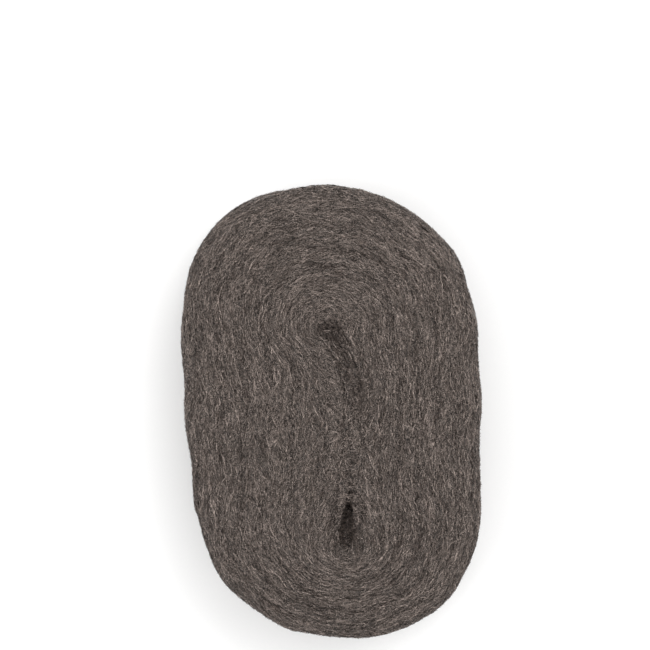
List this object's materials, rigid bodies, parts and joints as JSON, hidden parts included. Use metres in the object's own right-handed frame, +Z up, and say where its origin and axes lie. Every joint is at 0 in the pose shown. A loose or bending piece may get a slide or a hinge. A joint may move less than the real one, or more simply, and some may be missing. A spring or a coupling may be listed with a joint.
{
  "type": "steel wool roll",
  "caption": "Flat oval roll of fine steel wool, one band wound on itself and resting on its end, for rubbing down and polishing.",
  "frame": {"origin": "middle of the underside, which is one end of the winding", "axes": "+Y along the oval's long axis, towards the end at which the slit in the middle is closest, +Z up along the width of the band"},
  "size_m": [0.1182, 0.1784, 0.056],
  "materials": {
    "steel_wool": "dull grey-brown mat of fine loose fibres that run along the winding"
  },
  "bodies": {
    "root": {"wool_roll": "steel_wool"}
  },
  "joints": []
}
